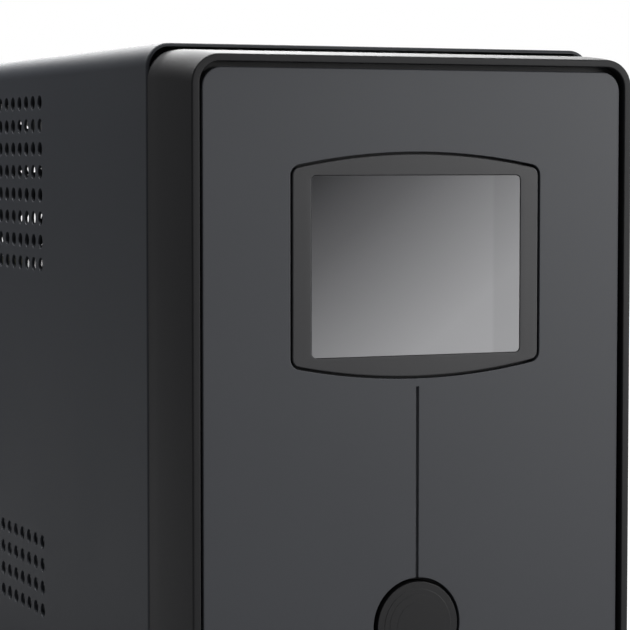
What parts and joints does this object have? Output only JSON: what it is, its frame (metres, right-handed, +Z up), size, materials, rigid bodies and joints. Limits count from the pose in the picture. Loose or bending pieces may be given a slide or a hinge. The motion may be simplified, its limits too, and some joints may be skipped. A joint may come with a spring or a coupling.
{
  "type": "uninterruptible power supply",
  "caption": "Tower uninterruptible power supply: steel cover with vent grids, recessed front plate with display and round power button, mains outlets at the rear.",
  "frame": {"origin": "under the middle of the machine, on the surface that its feet stand on", "axes": "+X to the machine's right as seen from the front, front faces -Y, +Z up"},
  "size_m": [0.1492, 0.397, 0.205],
  "materials": {
    "case_steel": "fine satin powder coat",
    "bezel_plastic": "fine moulded grain",
    "plate_plastic": "satin",
    "display_plastic": "satin",
    "lens_clear": "clear",
    "display_glass": "glossy",
    "button_plastic": "satin",
    "circuit_board": "solder mask",
    "zinc_steel": "zinc plated",
    "screw_steel": "black zinc",
    "battery_case": "moulded",
    "contact_brass": "plain",
    "core_steel": "varnished laminations",
    "winding_copper": "enamelled wire",
    "bobbin_plastic": "moulded",
    "sink_aluminium": "extruded",
    "component_plastic": "moulded",
    "capacitor_sleeve": "shrink sleeve",
    "connector_plastic": "moulded",
    "fan_plastic": "moulded",
    "foot_rubber": "matt",
    "socket_plastic": "moulded",
    "lead_red": "sleeve",
    "lead_black": "sleeve",
    "lead_grey": "sleeve"
  },
  "bodies": {
    "root": {"cover_shell": "case_steel", "base_chassis": "case_steel", "rear_panel": "case_steel", "front_bezel": "bezel_plastic", "front_plate": "plate_plastic", "lcd_bezel": "display_plastic", "lcd_lens": "lens_clear", "lcd_glass": "display_glass", "lcd_module": "bobbin_plastic", "display_board": "circuit_board", "switch_body": "component_plastic", "button_spring": "zinc_steel", "buzzer": "component_plastic", "front_partition": "zinc_steel", "battery_left": "battery_case", "battery_right": "battery_case", "battery_terminals": "contact_brass", "board_shelf": "zinc_steel", "main_board": "circuit_board", "board_standoffs": "contact_brass", "board_screws": "zinc_steel", "heatsink_left": "sink_aluminium", "heatsink_right": "sink_aluminium", "transistors": "component_plastic", "capacitors": "capacitor_sleeve", "relays": "component_plastic", "board_connectors": "connector_plastic", "transformer_core": "core_steel", "transformer_bobbin": "bobbin_plastic", "transformer_winding": "winding_copper", "transformer_bracket": "zinc_steel", "transformer_bolts": "zinc_steel", "fan_frame": "fan_plastic", "fan_guard": "screw_steel", "fan_screws": "screw_steel", "cover_screws": "screw_steel", "rubber_feet": "foot_rubber", "socket_1": "socket_plastic", "socket_2": "socket_plastic", "socket_3": "socket_plastic", "socket_4": "socket_plastic", "earth_clips": "zinc_steel", "inlet_housing": "socket_plastic", "inlet_pins": "zinc_steel", "breaker_body": "component_plastic", "breaker_nut": "zinc_steel", "usb_port": "zinc_steel", "phone_ports": "socket_plastic", "data_board": "circuit_board", "battery_cable_black": "lead_black", "battery_cable_red": "lead_red", "battery_link_cable": "lead_black", "display_cable": "lead_grey"},
    "button": {"power_button": "button_plastic"},
    "plunger": {"switch_plunger": "connector_plastic"},
    "fan": {"fan_rotor": "fan_plastic"},
    "reset": {"breaker_reset_button": "button_plastic"}
  },
  "joints": [
    {"name": "power_button_press", "type": "slide", "parent": "root", "child": "button", "axis": [0, 1, 0], "range_m": [0, 0.0015], "stiffness_N_per_m": 300, "springref_m": -0.002, "deforming": ["button_spring"]},
    {"name": "plunger_press", "type": "slide", "parent": "root", "child": "plunger", "axis": [0, 1, 0], "range_m": [0, 0.0015]},
    {"name": "fan_spin", "type": "hinge", "parent": "root", "child": "fan", "pos_m": [-0.024, 0.178, 0.157], "axis": [0, 1, 0], "continuous": true},
    {"name": "breaker_trip", "type": "slide", "parent": "root", "child": "reset", "axis": [0, 1, 0], "range_m": [0, 0.0035]}
  ],
  "couplings": [
    {"joint": "plunger_press", "follows": "power_button_press", "ratio": 1}
  ]
}
